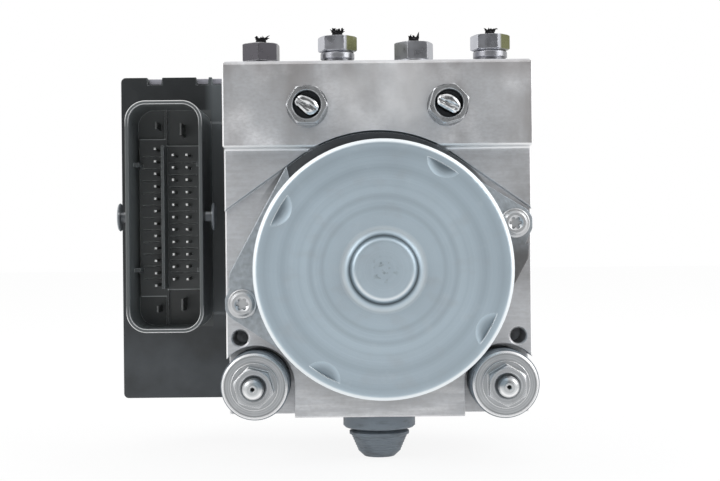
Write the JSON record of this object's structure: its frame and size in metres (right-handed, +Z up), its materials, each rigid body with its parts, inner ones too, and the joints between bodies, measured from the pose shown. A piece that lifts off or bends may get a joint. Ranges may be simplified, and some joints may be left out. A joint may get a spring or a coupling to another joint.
{
  "type": "abs brake module",
  "caption": "Hydraulic brake control unit: milled valve block with round pump motor, electronic housing with plug socket, pipe nuts and rubber-bushed mountings.",
  "frame": {"origin": "middle of the valve block's bottom face, on the axis of the rubber foot", "axes": "+X right along the front, +Y from the motor towards the electronics, +Z up"},
  "size_m": [0.1344, 0.129, 0.1373],
  "materials": {
    "milled_aluminium": "milled, blotchy",
    "zinc_can": "zinc plated, drawn",
    "black_plastic": "moulded, glass filled",
    "grey_plastic": "moulded light grey",
    "rubber": "moulded",
    "plated_steel": "zinc plated, turned",
    "dark_steel": "dark passivated",
    "yellow_steel": "yellow passivated",
    "bright_steel": "cut and pinched pipe",
    "tinned_contacts": "tinned",
    "steel": "ground",
    "copper": "enamelled copper",
    "ferrite": "sintered",
    "carbon": "pressed carbon",
    "board_green": "laminate",
    "brown_plastic": "phenolic"
  },
  "bodies": {
    "root": {"accumulator_caps": "milled_aluminium", "accumulator_spring_left": "steel", "accumulator_spring_right": "steel", "bearing_balls": "steel", "bearing_outer_races": "steel", "board_components": "black_plastic", "brush_holder": "brown_plastic", "brush_springs": "steel", "carbon_brushes": "carbon", "circuit_board": "board_green", "coil_yokes": "steel", "connector_contacts": "tinned_contacts", "ecu_cover": "grey_plastic", "ecu_gasket": "rubber", "ecu_housing": "black_plastic", "ecu_screws": "plated_steel", "end_shield": "steel", "foot_rubber": "rubber", "foot_stud": "steel", "hydraulic_block": "milled_aluminium", "inlet_valves": "steel", "master_pipe_nuts": "plated_steel", "master_pipe_stubs": "bright_steel", "motor_can": "zinc_can", "motor_contacts": "tinned_contacts", "motor_magnets": "ferrite", "motor_screws": "plated_steel", "motor_seal": "rubber", "mounting_bushes": "rubber", "mounting_nuts": "plated_steel", "mounting_studs": "plated_steel", "mounting_washers": "plated_steel", "outlet_valves": "steel", "pump_plugs": "milled_aluminium", "pump_sleeves": "steel", "valve_coils": "copper", "wheel_nuts_long": "yellow_steel", "wheel_nuts_short": "dark_steel", "wheel_pipe_stubs": "dark_steel"},
    "rotor": {"rotor_shaft": "steel", "armature_core": "steel", "armature_windings": "copper", "commutator": "copper", "bearing_inner_races": "steel", "needle_rollers": "steel"},
    "eccentric_ring": {"eccentric_ring": "steel"},
    "pump_piston_left": {"pump_piston_left": "steel", "pump_spring_left": "steel"},
    "accumulator_piston_left": {"accumulator_piston_left": "milled_aluminium"},
    "pump_piston_right": {"pump_piston_right": "steel", "pump_spring_right": "steel"},
    "accumulator_piston_right": {"accumulator_piston_right": "milled_aluminium"},
    "inlet_plunger_1": {"inlet_plunger_1": "steel"},
    "inlet_plunger_2": {"inlet_plunger_2": "steel"},
    "inlet_plunger_3": {"inlet_plunger_3": "steel"},
    "inlet_plunger_4": {"inlet_plunger_4": "steel"},
    "outlet_plunger_1": {"outlet_plunger_1": "steel"},
    "outlet_plunger_2": {"outlet_plunger_2": "steel"},
    "outlet_plunger_3": {"outlet_plunger_3": "steel"},
    "outlet_plunger_4": {"outlet_plunger_4": "steel"}
  },
  "joints": [
    {"name": "rotor_spin", "type": "hinge", "parent": "root", "child": "rotor", "pos_m": [0, 0, 0.047], "axis": [0, 1, 0], "continuous": true},
    {"name": "eccentric_ring_spin", "type": "hinge", "parent": "rotor", "child": "eccentric_ring", "pos_m": [0, 0, 0.048], "axis": [0, 1, 0], "continuous": true},
    {"name": "pump_piston_left_stroke", "type": "slide", "parent": "root", "child": "pump_piston_left", "axis": [-1, 0, 0], "range_m": [0, 0.002], "stiffness_N_per_m": 1500, "springref_m": -0.002},
    {"name": "accumulator_piston_left_stroke", "type": "slide", "parent": "root", "child": "accumulator_piston_left", "axis": [0, 0, 1], "range_m": [-0.007, 0], "stiffness_N_per_m": 300, "springref_m": 0.005, "deforming": ["accumulator_spring_left"]},
    {"name": "pump_piston_right_stroke", "type": "slide", "parent": "root", "child": "pump_piston_right", "axis": [1, 0, 0], "range_m": [0, 0.002], "stiffness_N_per_m": 1500, "springref_m": -0.002},
    {"name": "accumulator_piston_right_stroke", "type": "slide", "parent": "root", "child": "accumulator_piston_right", "axis": [0, 0, 1], "range_m": [-0.007, 0], "stiffness_N_per_m": 300, "springref_m": 0.005, "deforming": ["accumulator_spring_right"]},
    {"name": "inlet_plunger_1_travel", "type": "slide", "parent": "root", "child": "inlet_plunger_1", "axis": [0, 1, 0], "range_m": [0, 0.0003], "stiffness_N_per_m": 500},
    {"name": "inlet_plunger_2_travel", "type": "slide", "parent": "root", "child": "inlet_plunger_2", "axis": [0, 1, 0], "range_m": [0, 0.0003], "stiffness_N_per_m": 500},
    {"name": "inlet_plunger_3_travel", "type": "slide", "parent": "root", "child": "inlet_plunger_3", "axis": [0, 1, 0], "range_m": [0, 0.0003], "stiffness_N_per_m": 500},
    {"name": "inlet_plunger_4_travel", "type": "slide", "parent": "root", "child": "inlet_plunger_4", "axis": [0, 1, 0], "range_m": [0, 0.0003], "stiffness_N_per_m": 500},
    {"name": "outlet_plunger_1_travel", "type": "slide", "parent": "root", "child": "outlet_plunger_1", "axis": [0, 1, 0], "range_m": [0, 0.0003], "stiffness_N_per_m": 500},
    {"name": "outlet_plunger_2_travel", "type": "slide", "parent": "root", "child": "outlet_plunger_2", "axis": [0, 1, 0], "range_m": [0, 0.0003], "stiffness_N_per_m": 500},
    {"name": "outlet_plunger_3_travel", "type": "slide", "parent": "root", "child": "outlet_plunger_3", "axis": [0, 1, 0], "range_m": [0, 0.0003], "stiffness_N_per_m": 500},
    {"name": "outlet_plunger_4_travel", "type": "slide", "parent": "root", "child": "outlet_plunger_4", "axis": [0, 1, 0], "range_m": [0, 0.0003], "stiffness_N_per_m": 500}
  ]
}
